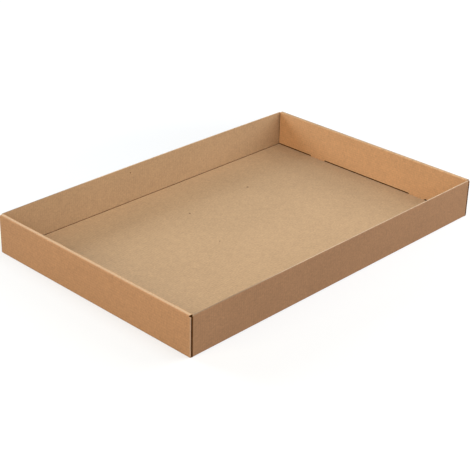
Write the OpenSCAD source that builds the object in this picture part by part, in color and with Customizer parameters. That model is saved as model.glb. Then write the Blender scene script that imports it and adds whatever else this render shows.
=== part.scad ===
// Folding pallet cap: one die-cut sheet of corrugated board, folded into a shallow open tray.
// The side walls stand on single folds, and a flap at each of their ends turns behind an end wall.
// Each end wall rolls over its two flaps, and its inner panel locks into the floor with two tabs.
// Millimetres, +Z up, origin at the centre of the underside, X along the length.

/* [Inside] */
// Clear length between the end walls
inside_l = 1200; // [600:10:1600]
// Clear width between the side walls
inside_w = 800; // [600:10:1200]
// Height of the side walls above the floor
inside_h = 120; // [60:5:200]

/* [Board] */
// Thickness of the corrugated board
board = 4; // [3:0.5:7]
// Air between layers that lie on each other
layer_gap = 0.6; // [0.3:0.1:1.2]
// Outside radius of a fold
fold_r = 3; // [1:0.25:3]
// Radius of the score pressed into the inside of a fold
score_r = 1.5; // [0.5:0.1:1.5]

/* [End walls] */
// How far the rolled rim stands above the side walls
rim_rise = 1; // [0:0.5:4]
// Gap between the inner panel's lower edge and the floor
seat_gap = 4; // [1:0.5:6]
// Gap between each end of the inner panel and the side wall
panel_gap = 2; // [0.5:0.5:4]
// How far each end of the outer panel stops short of the side wall's outer face
outer_inset = 1; // [0.5:0.5:3]

/* [Locking tabs] */
// Width of a tab
tab_w = 64; // [30:2:100]
// Distance between the middles of an end wall's two tabs
tab_pitch = 430; // [150:10:470]
// Chamfer on the two corners of a tab's tip
tab_chamfer = 2; // [0.5:0.5:4]
// Height of a tab's tip above the underside
tab_lift = 0.5; // [0.5:0.5:3]
// Clearance round a tab in its slot
slot_gap = 0.4; // [0.2:0.1:1]

/* [Corner flaps] */
// Length of a flap behind the end wall
flap_l = 110; // [40:5:200]
// How far a flap's free end narrows, above and below
flap_taper = 15; // [0:1:20]
// Gap between a flap and the floor below it, and the score above it
flap_gap = 0.5; // [0.5:0.5:5]
// Outside radius of the upright fold between a side wall and its flap
corner_r = 6; // [2:0.5:6]

/* [Hidden] */
$fn = 48;

kraft = [0.74, 0.56, 0.38];

// An end wall is three layers of board: outer panel, corner flap, inner panel.
end_t = 3 * board + 2 * layer_gap;
outer_l = inside_l + 2 * end_t;
outer_w = inside_w + 2 * board;

side_z = board + inside_h;
rim_z = side_z + rim_rise;
panel_z = board + seat_gap;

panel_l = inside_w - 2 * panel_gap;
outer_panel_l = outer_w - 2 * outer_inset;

// A flap lies just inside the outer panel, and a side wall ends where the round of its flap's fold begins.
flap_x = outer_l / 2 - board - layer_gap;
corner_l = max(board, corner_r);
side_l = 2 * (flap_x - corner_l);
flap_low = board + flap_gap;
flap_high = rim_z - board - score_r - flap_gap;

// A panel is drawn this far into the one that it is folded from, because they are one sheet.
lap = board / 2;

// What a fold's outer corner, at the origin, loses to its rounding.
module corner_round(r = fold_r) {
    difference() {
        square(r);
        translate([r, r]) circle(r);
    }
}

// Section of a fold: a panel of the given reach stands up from the end of a foot of the given length.
module fold_section(reach, foot = board, r = fold_r) {
    difference() {
        square([foot + lap, reach]);
        translate([board, board]) square([foot, reach]);
        translate([board, board]) circle(score_r);
        corner_round(r);
    }
}

// Section of a rolled end wall: outer panel, web across the rim and inner panel.
module rolled_section() {
    difference() {
        square([end_t, rim_z]);
        translate([board, board]) square([end_t - 2 * board, rim_z - 2 * board]);
        translate([board + lap, 0]) square([end_t, panel_z]);
        for (corner = [[board, board], [board, rim_z - board], [end_t - board, rim_z - board]])
            translate(corner) circle(score_r);
        corner_round();
        translate([0, rim_z]) mirror([0, 1]) corner_round();
        translate([end_t, rim_z]) rotate(180) corner_round();
    }
}

// Outline of a locking tab, from inside its panel down to its tip.
module tab_outline() {
    half = tab_w / 2;
    polygon([
        [-half, panel_z + lap], [-half, tab_lift + tab_chamfer],
        [-half + tab_chamfer, tab_lift], [half - tab_chamfer, tab_lift],
        [half, tab_lift + tab_chamfer], [half, panel_z + lap]
    ]);
}

// Outline of a corner flap with its fold, narrowing towards its free end.
module flap_outline() {
    tip = board + flap_l;
    polygon([
        [0, flap_low], [board, flap_low], [tip, flap_low + flap_taper],
        [tip, flap_high - flap_taper], [board, flap_high], [0, flap_high]
    ]);
}

// Extrudes a section drawn in Y and Z along X, from the origin.
module along_x(length) {
    rotate([90, 0, 90]) linear_extrude(length) children();
}

// Extrudes a section drawn in X and Z along Y, with the origin in the middle.
module along_y(length) {
    rotate([90, 0, 0]) linear_extrude(length, center = true) children();
}

// Repeats its children on both sides of a plane through the origin.
module both_sides(normal) {
    children();
    mirror(normal) children();
}

// The score along the inside of the -Y side wall's floor fold.
module side_score() {
    translate([-side_l / 2, board - outer_w / 2, board])
        rotate([0, 90, 0]) cylinder(h = side_l, r = score_r);
}

// The score along the inside of the -X end wall's floor fold.
module end_score() {
    translate([board - outer_l / 2, outer_panel_l / 2, board])
        rotate([90, 0, 0]) cylinder(h = outer_panel_l, r = score_r);
}

// The score along the inside of the flap's fold at the -X end of the -Y side wall.
module flap_score() {
    translate([board - flap_x, board - outer_w / 2, flap_low])
        cylinder(h = flap_high - flap_low, r = score_r);
}

// The floor between the folds, with the four slots for the tabs.
module floor_panel() {
    slot = [board + 2 * slot_gap, tab_w + 2 * slot_gap];
    difference() {
        linear_extrude(board) difference() {
            square([outer_l - 2 * board, outer_w - 2 * board], center = true);
            for (x = [-1, 1], y = [-1, 1])
                translate([x * (inside_l + board) / 2, y * tab_pitch / 2])
                    square(slot, center = true);
        }
        both_sides([0, 1, 0]) side_score();
        both_sides([1, 0, 0]) end_score();
    }
}

// The flap at the -X end of the -Y side wall: its bent plan, cut to its outline.
module corner_flap() {
    translate([-flap_x, -outer_w / 2, 0]) intersection() {
        linear_extrude(rim_z) fold_section(board + flap_l, corner_l, corner_r);
        along_x(corner_l + lap) flap_outline();
    }
}

// The -Y side wall with its floor fold and its two corner flaps.
module side_wall() {
    difference() {
        translate([-side_l / 2, -outer_w / 2, 0]) along_x(side_l) fold_section(side_z);
        both_sides([1, 0, 0]) flap_score();
    }
    both_sides([1, 0, 0]) corner_flap();
}

// The -X end wall: outer panel, rolled rim, inner panel and locking tabs.
module end_wall() {
    translate([-outer_l / 2, 0, 0]) {
        along_y(outer_panel_l) difference() {
            fold_section(rim_z - board);
            translate([board, rim_z - board]) circle(score_r);
        }
        along_y(panel_l) rolled_section();
        for (y = [-1, 1])
            translate([end_t - board, y * tab_pitch / 2, 0]) along_x(board) tab_outline();
    }
}

// The whole cap, folded and locked.
module pallet_cap() {
    color(kraft) {
        floor_panel();
        both_sides([0, 1, 0]) side_wall();
        both_sides([1, 0, 0]) end_wall();
    }
}

pallet_cap();
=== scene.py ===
"""Looks of a folded pallet cap: one sheet of brown corrugated board, with open flutes on its cut edges."""

import math

import bmesh
import bpy
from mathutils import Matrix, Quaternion, Vector


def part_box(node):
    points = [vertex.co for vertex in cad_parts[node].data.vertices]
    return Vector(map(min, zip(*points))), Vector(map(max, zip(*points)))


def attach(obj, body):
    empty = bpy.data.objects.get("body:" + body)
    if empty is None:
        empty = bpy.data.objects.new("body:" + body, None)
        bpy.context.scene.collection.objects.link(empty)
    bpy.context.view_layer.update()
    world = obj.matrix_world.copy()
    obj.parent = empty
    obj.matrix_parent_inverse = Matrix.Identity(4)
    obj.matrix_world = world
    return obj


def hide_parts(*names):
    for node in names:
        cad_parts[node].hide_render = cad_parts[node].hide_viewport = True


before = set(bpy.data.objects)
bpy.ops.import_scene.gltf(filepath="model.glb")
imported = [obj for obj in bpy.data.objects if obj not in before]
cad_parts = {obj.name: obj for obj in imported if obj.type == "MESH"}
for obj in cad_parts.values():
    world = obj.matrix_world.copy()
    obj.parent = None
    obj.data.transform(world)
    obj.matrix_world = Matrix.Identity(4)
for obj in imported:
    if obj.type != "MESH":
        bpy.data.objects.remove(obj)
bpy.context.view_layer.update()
node_low, node_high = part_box("pallet_cap")

MM = 0.001

# Sizes of the folded board, in metres, the same as the solid's own.
BOARD = 4 * MM
LAYER_GAP = 0.6 * MM
FOLD_R = 3 * MM
SCORE_R = 1.5 * MM
CORNER_R = 6 * MM
RIM_RISE = 1 * MM
OUTER_INSET = 1 * MM
FLAP_GAP = 0.5 * MM

# Sizes that follow from those and from the solid's box.
OUTER_L = node_high.x - node_low.x
OUTER_W = node_high.y - node_low.y
RIM_Z = node_high.z
SIDE_Z = RIM_Z - RIM_RISE
END_T = 3 * BOARD + 2 * LAYER_GAP
INSIDE_L = OUTER_L - 2 * END_T
INSIDE_W = OUTER_W - 2 * BOARD
SIDE_L = OUTER_L - 2 * (BOARD + LAYER_GAP + CORNER_R)
OUTER_PANEL_L = OUTER_W - 2 * OUTER_INSET

# The corrugated section: two liners with a waved medium between them, as shares of its thickness.
FLUTE_PITCH = 8 * MM
LINER_SHARE = 0.17
MEDIUM_SHARE = 0.17

# The open flutes of a raw edge: their depth, the closed margin at its ends, and the steps in a wave.
POCKET_DEPTH = 1 * MM
FLUTE_MARGIN = 1 * MM
FLUTE_STEPS = 8

# How many flutes lie in each column of faces that the sheet is cut into along its length.
FLUTES_PER_COLUMN = 4

# Rounding of the outer panels' upright ends, where the liner is crushed over the cut.
END_ROUND = 2.4 * MM
ROUND_STEPS = 4

# Width of the painted shade line on a side wall beside each end of an inner panel.
CORNER_SHADE_WIDTH = 1.5 * MM

# How the sheet settles: the foot of a corner's outer turn, and the back wall's lean at its upper middle.
TURN_FOOT = 0.2 * MM
BACK_BOW = 5.5 * MM

# The paper's tone: 1 is made pale, 2 is crushed so that its fibres show, with a painted highlight, and -1 is
# painted shade.
LEFT_RIM_PALENESS = 1.0
RIGHT_RIM_PALENESS = 0.0
CRUSHED_AND_HIGHLIGHT = 2.0
SCORE_SHADE = -1.0
CORNER_SHADE = -0.2

# Tolerances for telling faces apart: lengths, angles, and parts of a unit normal.
WELD = 0.001 * MM
TINY = 0.05 * MM
FLAT_ANGLE = math.radians(0.5)
SMOOTH_ANGLE = math.radians(30)
AXIS_ALIGNED = 0.9995
FACING_UP = 0.1

# Sines of a round's turn from its panel, where its painted shade begins and where it is crushed, with a
# painted highlight.
HOLLOW_TURN = math.sin(math.radians(18))
CRUSHED_TURN = math.sin(math.radians(25))

# Axes of the sheet.
X_AXIS, Y_AXIS, Z_AXIS = range(3)
ALONG = Vector((1, 0, 0))
ACROSS = Vector((0, 1, 0))
UP = Vector((0, 0, 1))

# Material slots of the board.
OUTSIDE, INSIDE, ROLLED, CUT_EDGE, HOLLOW_SHADE = range(5)

# Linear colours of the paper, and white.
KRAFT_OUTSIDE = (0.515, 0.281, 0.147)
# The rolled inner panels: the outside liner painted lighter, as painted light.
KRAFT_ROLLED_PAINTED_LIGHT = (0.626, 0.351, 0.172)
KRAFT_INSIDE = (0.490, 0.321, 0.181)
KRAFT_CUT = (0.720, 0.540, 0.370)
KRAFT_DULL = (0.420, 0.290, 0.190)
KRAFT_PALE = (0.640, 0.430, 0.260)
# Crushed fibres on the outer panels' rounded ends, paler still: partly a painted highlight.
KRAFT_CRUSHED_HIGHLIGHT = (0.780, 0.490, 0.325)
# Painted shade: the dark brown of hollows, flute pockets, scores and corner lines.
PAINTED_SHADE_BROWN = (0.140, 0.052, 0.012)
MARK_BROWN = (0.150, 0.080, 0.035)
WHITE = (1.0, 1.0, 1.0)

# The liners' tone: how far it goes below and above the plain colour, and the weight of each pattern in it.
TONE_SPREAD = 0.26
CLOUD_TONE = 0.3
BLOTCH_TONE = 0.4
FORMATION_TONE = 0.8
FIBRE_TONE = 0.8
GRAIN_TONE = 0.4
FLUTE_TONE = 0.10

# The liners' relief, in millimetres, by pattern.
CLOUD_RELIEF = 0.6
FORMATION_RELIEF = 0.05
FIBRE_RELIEF = 0.06
FLUTE_RELIEF = 0.06

# Roughness and specular level of each surface. Grain adds its own roughness to the liners'.
LINER_ROUGHNESS = 0.78
GRAIN_ROUGHNESS = 0.12
LINER_SPECULAR = 0.25
CUT_ROUGHNESS = 0.92
CUT_SPECULAR = 0.15
HOLLOW_ROUGHNESS = 0.9

# Stretch of the fibres' noise, which lengthens them along the sheet.
FIBRE_STRETCH = (0.25, 1.6, 1.0)

# The span of a noise value over which the paleness and crushing come through in patches.
PATCH_FROM = 0.2
PATCH_TO = 0.6

# Fine dark specks: features per metre, the noise values at which one begins and is full, and its strength.
SPECK_SCALE = 520
SPECK_FROM = 0.74
SPECK_TO = 0.80
SPECK_STRENGTH = 0.45

# Small dark marks in the inside liner, as places on the unfolded sheet and radii.
MARKS = (
    ((-28.7 * MM, 205.6 * MM), 3.5 * MM),
    ((249.4 * MM, 218.4 * MM), 4.5 * MM),
    ((-96.4 * MM, 4.4 * MM), 2.5 * MM),
    ((-101.2 * MM, 502.0 * MM), 2.5 * MM),
)

# A mark's ragged rim: features per metre, and where it fades, in radii.
MARK_WOBBLE = 260
MARK_EDGE = 1.1
MARK_CORE = 0.6

# The raw edges: weight of their fibres and patches in the tone, its darkest and palest, and their relief.
CUT_FIBRE_TONE = 0.9
CUT_PATCH_TONE = 0.6
CUT_DARKEST = 0.78
CUT_PALEST = 1.18
CUT_BUMP = 0.6
CUT_RELIEF = 0.2 * MM

# Where along the cap the raw edges turn darker, from their own colour to the full darker one.
DULL_FROM = -180 * MM
DULL_TO = -480 * MM

# The studio floor: its reach, its own grey, and its white glow near the cap, where shadows show, and beyond.
FLOOR_REACH = 40.0
FLOOR_GREY = (0.35, 0.35, 0.35)
NEAR_GLOW = 0.62
FAR_GLOW = 0.90

# How far from the cap's middle the glow begins to grow, and where it is full.
GLOW_FROM = 0.75
GLOW_TO = 1.5

# The light: a weak even surround, and square soft lamps around the cap.
AMBIENT = 0.16
LAMP_DISTANCE = 2.6
LAMP_SIZE = 1.1

# Each lamp's name, azimuth and elevation in degrees, power in watts, and tint.
LAMPS = (
    ("back_lamp", 203, 25, 35.0, (0.84, 1.0, 1.14)),
    ("left_lamp", 270, 25, 19.5, (1.17, 1.0, 0.68)),
    ("near_lamp", 315, 25, 10.5, (1.06, 1.0, 0.94)),
    ("top_lamp", 0, 70, 21.5, (0.93, 1.0, 1.06)),
    ("right_lamp", 45, 45, 17.0, (1.03, 1.0, 0.97)),
    ("far_lamp", 70, 25, 26.0, WHITE),
)

# The camera, fitted to the cap's corners in the photograph.
IMAGE_PIXELS = 470
SENSOR = 36.0
FOCAL_PIXELS = 1253.6
CAMERA_PLACE = Vector((-2514.1, -2366.4, 1745.6)) * MM
CAMERA_AZIMUTH = math.radians(-46.340)
CAMERA_ELEVATION = math.radians(26.919)
CAMERA_ROLL = math.radians(1.395)


def joined_faces(node):
    """A copy of a CAD node's mesh with its triangles joined into whole flat faces."""
    bm = bmesh.new()
    bm.from_mesh(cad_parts[node].data)
    bmesh.ops.remove_doubles(bm, verts=bm.verts, dist=WELD)
    bmesh.ops.dissolve_limit(bm, angle_limit=FLAT_ANGLE, verts=bm.verts, edges=bm.edges)
    return bm


def is_near(a, b):
    """True for two lengths that differ by less than the tolerance."""
    return abs(a - b) < TINY


def is_flat(normal):
    """True for a face of a panel or edge, and False for one on the round of a fold or score."""
    return max(abs(x) for x in normal) > AXIS_ALIGNED


def is_cut_edge(centre, normal):
    """True for a raw edge of the board, where the die cut it."""
    if not is_flat(normal):
        return False
    if abs(normal.y) > AXIS_ALIGNED:
        return abs(centre.x) > OUTER_L / 2 - BOARD and abs(centre.y) < OUTER_PANEL_L / 2 + TINY
    if abs(normal.x) > AXIS_ALIGNED:
        return centre.z < BOARD - TINY or is_near(abs(centre.x), SIDE_L / 2)
    if normal.z < 0:
        return centre.z > TINY
    return is_near(centre.z, SIDE_Z) or is_near(centre.z, RIM_Z - BOARD)


def is_outer_turn(centre, normal):
    """True on the outer side of the upright fold between a side wall and its corner flap."""
    return abs(centre.y) > INSIDE_W / 2 + TINY and normal.y * centre.y > 0


def is_inside_liner(centre, normal):
    """True for the sheet's inner side: the floor, the side walls' inner faces and the scores."""
    if normal.z > FACING_UP and centre.z < BOARD + SCORE_R:
        return True
    if abs(centre.x) > INSIDE_L / 2 + TINY:
        in_end_wall = abs(centre.x) < OUTER_L / 2 - BOARD + TINY and centre.z > BOARD
        return in_end_wall and not is_outer_turn(centre, normal)
    return normal.y * centre.y < 0 and abs(centre.y) > INSIDE_W / 2 - TINY


def is_rolled_panel(centre, normal):
    """True for the face of a rolled inner panel and its upper round, which get the outside liner painted
    lighter, as painted light.
    """
    return normal.x * centre.x < 0 and abs(centre.x) < INSIDE_L / 2 + FOLD_R and centre.z > BOARD


def is_rim_end(centre, normal):
    """True for the open end of a rolled rim."""
    return abs(normal.y) > AXIS_ALIGNED and centre.z > RIM_Z - BOARD and abs(centre.x) > INSIDE_L / 2


def is_side_wall(centre, normal):
    """True for the inner face of a side wall, as far as the folds at its ends."""
    return is_flat(normal) and normal.y * centre.y < 0 and abs(centre.y) > INSIDE_W / 2 - TINY


def in_painted_shade(centre, normal):
    """True inside an end wall, at its rim's ends, and where the upright folds beside it turn in: faces
    painted dark as shade.
    """
    if is_rim_end(centre, normal):
        return True
    if is_side_wall(centre, normal):
        return False
    if is_outer_turn(centre, normal) and abs(normal.x) < HOLLOW_TURN:
        return False
    between = INSIDE_L / 2 + TINY < abs(centre.x) < OUTER_L / 2 - BOARD + TINY
    return between and BOARD - TINY < centre.z < RIM_Z - BOARD + TINY


def mark_liners(bm):
    """Gives each face its material: painted hollow shade, raw edge, rolled panel painted lighter, inside
    liner or outside liner.
    """
    for face in bm.faces:
        centre = face.calc_center_median()
        # Hollows, the rims' open ends and the folds' turned-in rounds get painted shade.
        if in_painted_shade(centre, face.normal):
            face.material_index = HOLLOW_SHADE
        elif is_cut_edge(centre, face.normal):
            face.material_index = CUT_EDGE
        # Rolled panels get the outside liner painted lighter, as painted light.
        elif is_rolled_panel(centre, face.normal):
            face.material_index = ROLLED
        elif is_inside_liner(centre, face.normal):
            face.material_index = INSIDE
        else:
            face.material_index = OUTSIDE


def everything(bm):
    """All verts, edges and faces of a mesh."""
    return bm.verts[:] + bm.edges[:] + bm.faces[:]


def with_borders(faces):
    """Faces together with their verts and edges, each once and in a fixed order."""
    verts = dict.fromkeys(v for face in faces for v in face.verts)
    edges = dict.fromkeys(e for face in faces for e in face.edges)
    return [*verts, *edges, *faces]


def cut_across(bm, geometry, axis, places):
    """Cuts faces along planes that stand across an axis, so that they can bend or carry an edge strip.

    The geometry to cut is a function of the mesh, because each cut adds to it.
    """
    normal = Vector((0, 0, 0))
    normal[axis] = 1
    for place in places:
        parts = geometry(bm)
        bmesh.ops.bisect_plane(bm, geom=parts, dist=WELD, plane_co=normal * place, plane_no=normal)


def outer_panels(bm):
    """The two outer panels."""
    inner_x = OUTER_L / 2 - BOARD - TINY
    return with_borders([f for f in bm.faces if all(abs(v.co.x) > inner_x for v in f.verts)])


def round_end_panels(bm):
    """Rounds the outer panels' upright ends on their outer side."""
    start = OUTER_PANEL_L / 2 - END_ROUND
    places = [start + END_ROUND * math.sin(math.pi / 2 * i / ROUND_STEPS) for i in range(ROUND_STEPS)]
    cut_across(bm, outer_panels, Y_AXIS, [side * place for place in places for side in (-1, 1)])
    for vert in bm.verts:
        # How far the vert lies into the round, and 1 on the outer face down to 0 inside the board.
        into = min(abs(vert.co.y) - start, END_ROUND)
        on_face = (abs(vert.co.x) - OUTER_L / 2) / FOLD_R + 1
        if into > 0 and on_face > 0:
            drop = END_ROUND - math.sqrt(END_ROUND ** 2 - into ** 2)
            vert.co.x -= math.copysign(drop * on_face, vert.co.x)


def add_face(bm, corners, slot):
    """Adds a face through the given corners, leaving out repeated ones."""
    ring = [v for i, v in enumerate(corners) if v is not corners[i - 1]]
    if len(ring) < 3:
        return
    face = bm.faces.new(ring)
    face.material_index = slot


def edge_faces(bm, place, normal):
    """The flat faces of one raw edge: those in the plane through a place, within half a board of it."""
    found = []
    for face in bm.faces:
        offset = face.calc_center_median() - place
        if face.normal.dot(normal) < AXIS_ALIGNED or abs(offset.dot(normal)) > TINY:
            continue
        away = abs(offset.y) if normal.z else abs(offset.x)
        if away < BOARD / 2:
            found.append(face)
    return found


def edge_sides(faces, along, across):
    """The verts on the two long sides of a raw edge, each side in order along it."""
    verts = {v for face in faces for v in face.verts}
    reach = [v.co.dot(across) for v in verts]
    sides = []
    for w in (min(reach), max(reach)):
        side = [v for v in verts if is_near(v.co.dot(across), w)]
        sides.append(sorted(side, key=lambda v: v.co.dot(along)))
    return sides


def flute_rows(new_vert, count, low_w, high_w):
    """The verts at each step along a raw edge, for the low and the high liner.

    Each liner has four: its lip, the pocket's bottom below it, the bottom beside the medium, and the
    medium's lip. They are one vert where the medium meets the liner, which closes the pocket.
    """
    liner = LINER_SHARE * (high_w - low_w)
    medium = MEDIUM_SHARE * (high_w - low_w)
    liner_low, liner_high = low_w + liner, high_w - liner
    swing = (liner_high - liner_low - medium) / 2
    middle = (low_w + high_w) / 2
    rows = []
    for i in range(count + 1):
        wave = middle + swing * math.cos(2 * math.pi * i / FLUTE_STEPS)
        row = []
        for liner_w, medium_w in ((liner_low, wave - medium / 2), (liner_high, wave + medium / 2)):
            lip = new_vert(i, liner_w)
            if i in (0, count) or is_near(liner_w, medium_w):
                row.append((lip, lip, lip, lip))
            else:
                bottom = new_vert(i, liner_w, POCKET_DEPTH)
                row.append((lip, bottom, new_vert(i, medium_w, POCKET_DEPTH), new_vert(i, medium_w)))
        rows.append(row)
    return rows


def add_medium(bm, rows, pocket):
    """Adds the edge of the waved medium, and the pockets on both sides of it."""
    for here, there in zip(rows, rows[1:]):
        add_face(bm, [here[0][3], there[0][3], there[1][3], here[1][3]], CUT_EDGE)
        for a, b in zip(here, there):
            for k in range(3):
                add_face(bm, [a[k], b[k], b[k + 1], a[k + 1]], pocket)


def carve_flutes(bm, faces, along, across, inward, pocket):
    """Opens the flutes in a raw edge: its faces become two liners, a waved medium and pockets between.

    The faces lie side by side along the edge, and pocket is the material slot of the pockets.
    """
    low_side, high_side = edge_sides(faces, along, across)
    low_w, high_w = low_side[0].co.dot(across), high_side[0].co.dot(across)
    start = low_side[0].co.dot(along) + FLUTE_MARGIN
    length = low_side[-1].co.dot(along) - FLUTE_MARGIN - start
    base = low_side[0].co - along * low_side[0].co.dot(along) - across * low_w
    count = round(length / FLUTE_PITCH) * FLUTE_STEPS
    bmesh.ops.delete(bm, geom=faces, context="FACES")

    def new_vert(i, w, drop=0.0):
        return bm.verts.new(base + along * (start + length * i / count) + across * w + inward * drop)

    rows = flute_rows(new_vert, count, low_w, high_w)
    add_medium(bm, rows, pocket)
    # Each face of a liner runs from one vert of the edge to the next, and back along the lips there.
    for side, layer in ((low_side, 0), (high_side, 1)):
        lips = [row[layer][0] for row in rows]
        stops = [round((v.co.dot(along) - start) / length * count) for v in side]
        stops = [min(max(stop, 0), count) for stop in stops]
        for k in range(len(side) - 1):
            add_face(bm, [side[k], side[k + 1], *reversed(lips[stops[k]:stops[k + 1] + 1])], CUT_EDGE)
    for end in (0, -1):
        add_face(bm, [low_side[end], high_side[end], rows[end][1][0], rows[end][0][0]], CUT_EDGE)


def open_side_walls(bm):
    """Opens the flutes along the upper edges of the two side walls."""
    for side in (-1, 1):
        place = Vector((0, side * (OUTER_W - BOARD) / 2, SIDE_Z))
        carve_flutes(bm, edge_faces(bm, place, UP), ALONG, ACROSS, -UP, CUT_EDGE)


def open_end_panels(bm):
    """Opens the flutes in the upright ends of the two outer panels, between the folds above and below."""
    low, high = BOARD + SCORE_R, RIM_Z - BOARD - SCORE_R
    for x_side in (-1, 1):
        for y_side in (-1, 1):
            out = y_side * ACROSS
            place = Vector((x_side * (OUTER_L - BOARD) / 2, y_side * OUTER_PANEL_L / 2, RIM_Z / 2))

            def end_of_panel(mesh):
                return with_borders(edge_faces(mesh, place, out))

            cut_across(bm, end_of_panel, Z_AXIS, (low, high))
            strip = [f for f in edge_faces(bm, place, out) if low < f.calc_center_median().z < high]
            # The pockets get the dark brown of painted shade.
            carve_flutes(bm, strip, UP, ALONG, -out, HOLLOW_SHADE)


def sheet_place(point, centre):
    """Where a point of a face lies on the unfolded sheet, along and across its length."""
    u, v = point.x, point.y
    if abs(centre.x) > INSIDE_L / 2 - TINY and centre.z > BOARD:
        u = math.copysign(end_wall_place(point, centre), point.x)
    elif abs(centre.y) > INSIDE_W / 2 - TINY:
        v += math.copysign(point.z, point.y)
    return u, v


def end_wall_place(point, centre):
    """How far from the sheet's middle a point of an end wall lies: up its outer panel, across and down."""
    depth = OUTER_L / 2 - abs(point.x)
    if centre.z > RIM_Z - FOLD_R:
        return OUTER_L / 2 + RIM_Z + depth
    if abs(centre.x) < INSIDE_L / 2 + BOARD + TINY:
        return OUTER_L / 2 + RIM_Z + END_T + RIM_Z - point.z
    return OUTER_L / 2 + point.z


def in_corner_shade_line(centre, normal):
    """True for the strip of a side wall's inner face that lies beside the end of an inner panel, where shade
    is painted.
    """
    return is_side_wall(centre, normal) and abs(centre.x) > INSIDE_L / 2 - CORNER_SHADE_WIDTH


def fold_wear_and_painted_light(centre, normal):
    """The paper's tone on a face: paleness, crushing with a painted highlight, and painted shade in scores
    and corners.
    """
    # The strip beside an inner panel's end is darkened: painted shade in the corner.
    if in_corner_shade_line(centre, normal):
        return CORNER_SHADE
    if is_flat(normal):
        if is_near(centre.z, RIM_Z):
            return LEFT_RIM_PALENESS if centre.x < 0 else RIGHT_RIM_PALENESS
        return 0.0
    # The scores are darkened: painted shade in the creases.
    if normal.z > 0 and centre.z < BOARD + SCORE_R:
        return SCORE_SHADE
    # The outer panels' rounded ends are crushed pale, with a painted highlight.
    if abs(centre.x) > OUTER_L / 2 - END_ROUND and abs(normal.y) > CRUSHED_TURN:
        return CRUSHED_AND_HIGHLIGHT
    return 0.0


def lay_out_sheet(bm):
    """Stores each corner's place on the unfolded sheet, and its paleness, wear and painted light, for the
    materials to read.
    """
    layer = bm.loops.layers.float_vector.new("sheet")
    for face in bm.faces:
        centre = face.calc_center_median()
        wear_and_painted_light = fold_wear_and_painted_light(centre, face.normal)
        for loop in face.loops:
            u, v = sheet_place(loop.vert.co, centre)
            loop[layer] = Vector((u, v, wear_and_painted_light))


def smooth_folds(bm):
    """Smooths the rounds of folds and the bent panels, and keeps a crease where a round meets a panel."""
    for face in bm.faces:
        face.smooth = True
    for edge in bm.edges:
        kinds = {is_flat(face.normal) for face in edge.link_faces}
        edge.smooth = len(kinds) == 1 and edge.calc_face_angle(math.pi) < SMOOTH_ANGLE


def settle(bm):
    """Moves the board from its ideal folds to how it stands: flaps on the floor, and a bowed back wall."""
    for vert in bm.verts:
        x, y, z = vert.co
        if abs(x) > SIDE_L / 2 - TINY and is_near(z, BOARD + FLAP_GAP):
            vert.co.z = TURN_FOOT if abs(y) > INSIDE_W / 2 + TINY else BOARD
        rise = max(0.0, z - BOARD) / (SIDE_Z - BOARD)
        if y > INSIDE_W / 2 - TINY and abs(x) < SIDE_L / 2:
            vert.co.y += BACK_BOW * (1 - (2 * x / SIDE_L) ** 2) * rise


def add_object(name, bm):
    """Makes an object of a finished mesh."""
    mesh = bpy.data.meshes.new(name)
    bm.to_mesh(mesh)
    bm.free()
    piece = bpy.data.objects.new(name, mesh)
    bpy.context.scene.collection.objects.link(piece)
    return piece


def build_board():
    """The whole folded sheet as one piece."""
    bm = joined_faces("pallet_cap")
    columns = round(SIDE_L / FLUTE_PITCH / FLUTES_PER_COLUMN)
    cut_across(bm, everything, X_AXIS, [SIDE_L * (i / columns - 0.5) for i in range(1, columns)])
    for x in (OUTER_L / 2 - BOARD, INSIDE_L / 2, INSIDE_L / 2 - CORNER_SHADE_WIDTH):
        cut_across(bm, everything, X_AXIS, (-x, x))
    round_end_panels(bm)
    mark_liners(bm)
    open_side_walls(bm)
    open_end_panels(bm)
    bmesh.ops.recalc_face_normals(bm, faces=bm.faces)
    lay_out_sheet(bm)
    smooth_folds(bm)
    settle(bm)
    return add_object("folded_board", bm)


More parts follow.
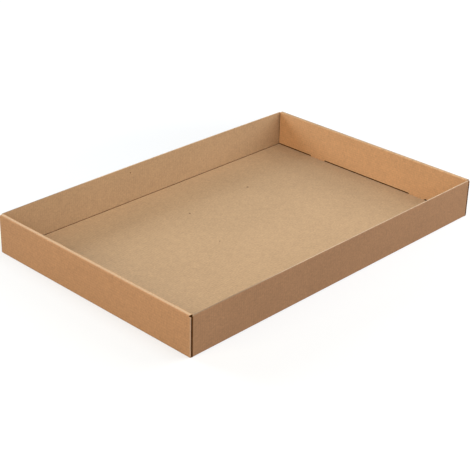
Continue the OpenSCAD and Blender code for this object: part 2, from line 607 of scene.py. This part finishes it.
class Graph:
    """A node tree that adds nodes with their settings, and links or sets their inputs."""

    def __init__(self, tree):
        self.tree = tree
        tree.nodes.clear()

    def add(self, kind, inputs=None, **settings):
        """A new node with the given settings, and inputs by their names or numbers."""
        node = self.tree.nodes.new(kind)
        for name, value in settings.items():
            setattr(node, name, value)
        for key, value in (inputs or {}).items():
            self.feed(node.inputs[key], value)
        return node

    def feed(self, socket, value):
        """Links a socket to an output, or sets it to a plain value."""
        if isinstance(value, bpy.types.NodeSocket):
            self.tree.links.new(value, socket)
        elif socket.type == "RGBA":
            socket.default_value = (*value, 1)
        else:
            socket.default_value = value

    def math(self, operation, a, b=0.0, clamp=False):
        """The result of an operation on two values, kept between 0 and 1 where it is clamped."""
        node = self.add("ShaderNodeMath", {0: a, 1: b}, operation=operation, use_clamp=clamp)
        return node.outputs[0]

    def mix(self, factor, a, b):
        """A colour between a, at factor 0, and b, at factor 1."""
        # Several sockets of this node share a name, so the ones for colours go by number.
        node = self.add("ShaderNodeMix", {0: factor, 6: a, 7: b}, data_type="RGBA")
        return node.outputs[2]

    def noise(self, place, scale, detail=2.0, stretch=(1, 1, 1)):
        """A noise value about 0.5. The scale is in features per metre, and stretch multiplies it by axis."""
        scaled = self.add("ShaderNodeVectorMath", {0: place, 1: stretch}, operation="MULTIPLY")
        node = self.add(
            "ShaderNodeTexNoise", {"Vector": scaled.outputs[0], "Scale": scale, "Detail": detail}
        )
        return node.outputs[0]

    def ramp(self, value, low, high):
        """0 below low, 1 above high, and a smooth step between."""
        node = self.add(
            "ShaderNodeMapRange",
            {"Value": value, "From Min": low, "From Max": high},
            interpolation_type="SMOOTHSTEP",
        )
        return node.outputs[0]

    def total(self, *terms):
        """The sum of (value, weight) terms, each value counted from its middle, 0.5."""
        result = 0.0
        for value, weight in terms:
            centred = self.math("SUBTRACT", value, 0.5)
            result = self.math("ADD", self.math("MULTIPLY", centred, weight), result)
        return result

    def tone(self, *terms):
        """The total of the terms about 0.5, kept between 0 and 1."""
        return self.math("ADD", self.total(*terms), 0.5, clamp=True)

    def surface(self, shader):
        """Makes a shader the surface of the material."""
        self.add("ShaderNodeOutputMaterial", {"Surface": shader.outputs[0]})


def new_material(name):
    """A new material, and the graph of its empty node tree."""
    material = bpy.data.materials.new(name)
    material.use_nodes = True
    return material, Graph(material.node_tree)


def shade(tint, level):
    """A colour made darker or paler by a level."""
    return tuple(level * x for x in tint)


def sheet_coordinates(graph):
    """The place on the unfolded sheet as a flat vector, its part along the length, and the wear and painted
    light there.
    """
    sheet = graph.add("ShaderNodeAttribute", attribute_name="sheet", attribute_type="GEOMETRY")
    parts = graph.add("ShaderNodeSeparateXYZ", {0: sheet.outputs["Vector"]})
    flat = graph.add("ShaderNodeCombineXYZ", {0: parts.outputs[0], 1: parts.outputs[1]})
    return flat.outputs[0], parts.outputs[0], parts.outputs[2]


def add_marks(graph, colour, flat):
    """Paints the small dark marks into the colour."""
    wobble = graph.noise(flat, MARK_WOBBLE)
    for (u, v), radius in MARKS:
        away = graph.add("ShaderNodeVectorMath", {0: flat, 1: (u, v, 0)}, operation="DISTANCE")
        reach = graph.math("DIVIDE", away.outputs["Value"], radius)
        rough = graph.math("ADD", reach, graph.math("SUBTRACT", wobble, 0.5))
        colour = graph.mix(graph.ramp(rough, MARK_EDGE, MARK_CORE), colour, MARK_BROWN)
    return colour


def add_wear_and_painted_light(graph, colour, wear_and_painted_light, fibres, formation):
    """Makes the colour pale, crushes it to bare fibres with a painted highlight, or darkens it with painted
    shade, as the value says.
    """
    pale = graph.math("MULTIPLY", wear_and_painted_light, graph.ramp(fibres, PATCH_FROM, PATCH_TO), clamp=True)
    colour = graph.mix(pale, colour, KRAFT_PALE)
    # Crushed ends go paler still: partly a painted highlight.
    crushed_highlight = graph.math("SUBTRACT", wear_and_painted_light, 1.0, clamp=True)
    crushed_highlight = graph.math("MULTIPLY", crushed_highlight, graph.ramp(formation, PATCH_FROM, PATCH_TO))
    colour = graph.mix(crushed_highlight, colour, KRAFT_CRUSHED_HIGHLIGHT)
    # Negative values darken the colour towards the painted shade brown.
    painted_shade = graph.math("MULTIPLY", wear_and_painted_light, -1.0, clamp=True)
    return graph.mix(painted_shade, colour, PAINTED_SHADE_BROWN)


def liner_material(name, tint, marked):
    """Kraft liner: mottled fibres along the sheet, fine specks, a faint washboard, and worn folds with
    painted highlights and painted shade.
    """
    material, graph = new_material(name)
    flat, along, wear_and_painted_light = sheet_coordinates(graph)

    clouds = graph.noise(flat, scale=5, detail=2)
    blotches = graph.noise(flat, scale=45, detail=3)
    formation = graph.noise(flat, scale=150, detail=4)
    fibres = graph.noise(flat, scale=400, detail=3, stretch=FIBRE_STRETCH)
    grain = graph.noise(flat, scale=900, detail=2)
    wave = graph.math("SINE", graph.math("MULTIPLY", along, 2 * math.pi / FLUTE_PITCH))
    flutes = graph.math("ADD", graph.math("MULTIPLY", wave, 0.5), 0.5)

    tone = graph.tone(
        (clouds, CLOUD_TONE),
        (blotches, BLOTCH_TONE),
        (formation, FORMATION_TONE),
        (fibres, FIBRE_TONE),
        (grain, GRAIN_TONE),
        (flutes, FLUTE_TONE),
    )
    colour = graph.mix(tone, shade(tint, 1 - TONE_SPREAD), shade(tint, 1 + TONE_SPREAD))
    speck = graph.ramp(graph.noise(flat, SPECK_SCALE, detail=1), SPECK_FROM, SPECK_TO)
    colour = graph.mix(graph.math("MULTIPLY", speck, SPECK_STRENGTH), colour, MARK_BROWN)
    if marked:
        colour = add_marks(graph, colour, flat)
    colour = add_wear_and_painted_light(graph, colour, wear_and_painted_light, fibres, formation)

    height = graph.total(
        (formation, FORMATION_RELIEF),
        (fibres, FIBRE_RELIEF),
        (flutes, FLUTE_RELIEF),
        (clouds, CLOUD_RELIEF),
    )
    bump = graph.add("ShaderNodeBump", {"Strength": 1.0, "Distance": MM, "Height": height})
    roughness = graph.math("ADD", graph.math("MULTIPLY", grain, GRAIN_ROUGHNESS), LINER_ROUGHNESS)
    paper = graph.add("ShaderNodeBsdfPrincipled", {
        "Base Color": colour,
        "Roughness": roughness,
        "Specular IOR Level": LINER_SPECULAR,
        "Normal": bump.outputs[0],
    })
    graph.surface(paper)
    return material


def cut_material():
    """Raw cut edge: pale torn fibres, darker towards one end of the cap."""
    material, graph = new_material("cut_edge")
    place = graph.add("ShaderNodeTexCoord").outputs["Object"]
    fibres = graph.noise(place, scale=1500, detail=3)
    patches = graph.noise(place, scale=60, detail=2)
    tone = graph.tone((fibres, CUT_FIBRE_TONE), (patches, CUT_PATCH_TONE))
    colour = graph.mix(tone, shade(KRAFT_CUT, CUT_DARKEST), shade(KRAFT_CUT, CUT_PALEST))
    along = graph.add("ShaderNodeSeparateXYZ", {0: place}).outputs[0]
    colour = graph.mix(graph.ramp(along, DULL_FROM, DULL_TO), colour, KRAFT_DULL)
    bump = graph.add("ShaderNodeBump", {"Strength": CUT_BUMP, "Distance": CUT_RELIEF, "Height": fibres})
    paper = graph.add("ShaderNodeBsdfPrincipled", {
        "Base Color": colour,
        "Roughness": CUT_ROUGHNESS,
        "Specular IOR Level": CUT_SPECULAR,
        "Normal": bump.outputs[0],
    })
    graph.surface(paper)
    return material


def painted_shade_material():
    """Painted shade: a dark brown for the inside of a rolled end wall, and of a flute at a panel's end."""
    material, graph = new_material("hollow_painted_shade")
    painted_shade = graph.add("ShaderNodeBsdfPrincipled", {
        "Base Color": PAINTED_SHADE_BROWN,
        "Roughness": HOLLOW_ROUGHNESS,
        "Specular IOR Level": 0.0,
    })
    graph.surface(painted_shade)
    return material


def seen_directly(graph):
    """1 for rays that come straight from the camera, or through gloss or glass, and 0 for the rest."""
    path = graph.add("ShaderNodeLightPath")
    seen = graph.math("MAXIMUM", path.outputs["Is Camera Ray"], path.outputs["Is Glossy Ray"])
    return graph.math("MAXIMUM", seen, path.outputs["Is Transmission Ray"])


def floor_material():
    """Plain grey to the light, and white to the eye, with room for the cap's shadow near it."""
    material, graph = new_material("studio_floor")
    plain = graph.add("ShaderNodeBsdfDiffuse", {"Color": FLOOR_GREY})
    place = graph.add("ShaderNodeTexCoord").outputs["Object"]
    away = graph.add("ShaderNodeVectorMath", {0: place}, operation="LENGTH").outputs["Value"]
    far = graph.ramp(away, GLOW_FROM, GLOW_TO)
    level = graph.math("ADD", graph.math("MULTIPLY", far, FAR_GLOW - NEAR_GLOW), NEAR_GLOW)
    glow = graph.add("ShaderNodeEmission", {"Color": WHITE, "Strength": level})
    white = graph.add("ShaderNodeAddShader", {0: plain.outputs[0], 1: glow.outputs[0]})
    both = graph.add(
        "ShaderNodeMixShader", {0: seen_directly(graph), 1: plain.outputs[0], 2: white.outputs[0]}
    )
    graph.surface(both)
    return material


def add_floor():
    """A plain pale floor that shows white, with a faint shadow where the cap stands."""
    bm = bmesh.new()
    bmesh.ops.create_grid(bm, x_segments=1, y_segments=1, size=FLOOR_REACH)
    floor = add_object("studio_floor", bm)
    floor.data.materials.append(floor_material())


def add_world():
    """A weak even surround that shows white."""
    world = bpy.data.worlds.new("studio")
    world.use_nodes = True
    bpy.context.scene.world = world
    graph = Graph(world.node_tree)
    lit = graph.add("ShaderNodeBackground", {"Color": WHITE, "Strength": AMBIENT})
    white = graph.add("ShaderNodeBackground", {"Color": WHITE, "Strength": 1.0})
    both = graph.add(
        "ShaderNodeMixShader", {0: seen_directly(graph), 1: lit.outputs[0], 2: white.outputs[0]}
    )
    graph.add("ShaderNodeOutputWorld", {"Surface": both.outputs[0]})


def direction_from(azimuth, elevation):
    """The direction from the cap towards a place around it. Azimuth 0 is -Y, and 90 degrees is +X."""
    flat = math.cos(elevation)
    return Vector((math.sin(azimuth) * flat, -math.cos(azimuth) * flat, math.sin(elevation)))


def add_lamp(name, azimuth, elevation, power, tint):
    """A square soft lamp that faces the cap."""
    direction = direction_from(math.radians(azimuth), math.radians(elevation))
    lamp = bpy.data.lights.new(name, "AREA")
    lamp.shape = "SQUARE"
    lamp.size = LAMP_SIZE
    lamp.energy = power
    lamp.color = tint
    holder = bpy.data.objects.new(name, lamp)
    holder.location = direction * LAMP_DISTANCE
    holder.rotation_mode = "QUATERNION"
    holder.rotation_quaternion = direction.to_track_quat("Z", "Y")
    holder.visible_camera = False
    bpy.context.scene.collection.objects.link(holder)


def add_camera():
    """The camera at the photograph's place, looking the way that it looked."""
    lens = bpy.data.cameras.new("camera")
    lens.sensor_width = SENSOR
    lens.lens = FOCAL_PIXELS * SENSOR / IMAGE_PIXELS
    camera = bpy.data.objects.new("camera", lens)
    camera.location = CAMERA_PLACE
    camera.rotation_mode = "QUATERNION"
    back = direction_from(CAMERA_AZIMUTH, CAMERA_ELEVATION)
    roll = Quaternion((0, 0, 1), CAMERA_ROLL)
    camera.rotation_quaternion = (-back).to_track_quat("-Z", "Y") @ roll
    bpy.context.scene.collection.objects.link(camera)
    bpy.context.scene.camera = camera


def add_board():
    """The board with its materials, in the order of their slots, in place of the plain solid."""
    board = build_board()
    board.data.materials.append(liner_material("outside_liner", KRAFT_OUTSIDE, marked=False))
    board.data.materials.append(liner_material("inside_liner", KRAFT_INSIDE, marked=True))
    # The outside liner painted lighter for the rolled panels: painted light.
    board.data.materials.append(liner_material("rolled_liner_painted_light", KRAFT_ROLLED_PAINTED_LIGHT, marked=False))
    board.data.materials.append(cut_material())
    # The dark brown of painted shade, for hollows and pockets.
    board.data.materials.append(painted_shade_material())
    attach(board, "root")
    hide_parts("pallet_cap")


add_board()
add_floor()
add_world()
for lamp in LAMPS:
    add_lamp(*lamp)
add_camera()
bpy.context.scene.view_settings.view_transform = "Standard"
